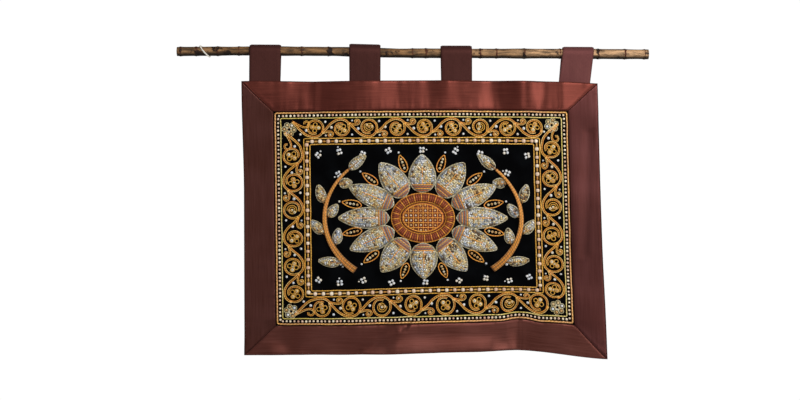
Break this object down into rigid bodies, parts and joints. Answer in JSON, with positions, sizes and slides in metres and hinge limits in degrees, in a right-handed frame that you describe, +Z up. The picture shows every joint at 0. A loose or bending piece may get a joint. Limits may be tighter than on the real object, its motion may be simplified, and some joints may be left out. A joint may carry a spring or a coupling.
{
  "type": "embroidered textile wall hanging with rod",
  "caption": "Velvet panel with padded sequin flower and corded scroll border, framed in mitred satin, hung by satin tabs from a cane rod.",
  "frame": {"origin": "on the rod's axis, above the middle of the cloth, where a pair of wall hooks carries the rod", "axes": "+X along the rod to the viewer's right, -Y out of the worked face, +Z up"},
  "size_m": [0.848, 0.0367, 0.5656],
  "materials": {
    "velvet": "matte cotton velvet, black",
    "satin": "glossy brown satin",
    "cane": "smoked cane, worn smooth",
    "string": "plain white cotton string",
    "sequins": "silver and pale gold sequins over padding",
    "rust_cord": "rust felt with couched metal cord",
    "copper_cord": "couched copper cord over padding"
  },
  "bodies": {
    "root": {"velvet_panel": "velvet", "border_top": "satin", "border_bottom": "satin", "border_left": "satin", "border_right": "satin", "tab_1": "satin", "tab_2": "satin", "tab_3": "satin", "tab_4": "satin", "flower_heart": "rust_cord", "flower_collar": "rust_cord", "petal_01": "sequins", "petal_02": "sequins", "petal_03": "sequins", "petal_04": "sequins", "petal_05": "sequins", "petal_06": "sequins", "petal_07": "sequins", "petal_08": "sequins", "petal_09": "sequins", "petal_10": "sequins", "petal_11": "sequins", "petal_12": "sequins", "stem_left": "copper_cord", "leaf_left_1": "sequins", "leaf_left_2": "sequins", "leaf_left_3": "sequins", "leaf_left_4": "sequins", "leaf_left_5": "sequins", "leaf_left_6": "sequins", "leaf_left_7": "sequins", "stem_right": "copper_cord", "leaf_right_1": "sequins", "leaf_right_2": "sequins", "leaf_right_3": "sequins", "leaf_right_4": "sequins", "leaf_right_5": "sequins", "leaf_right_6": "sequins", "leaf_right_7": "sequins", "rod": "cane", "rod_string": "string"}
  },
  "joints": []
}
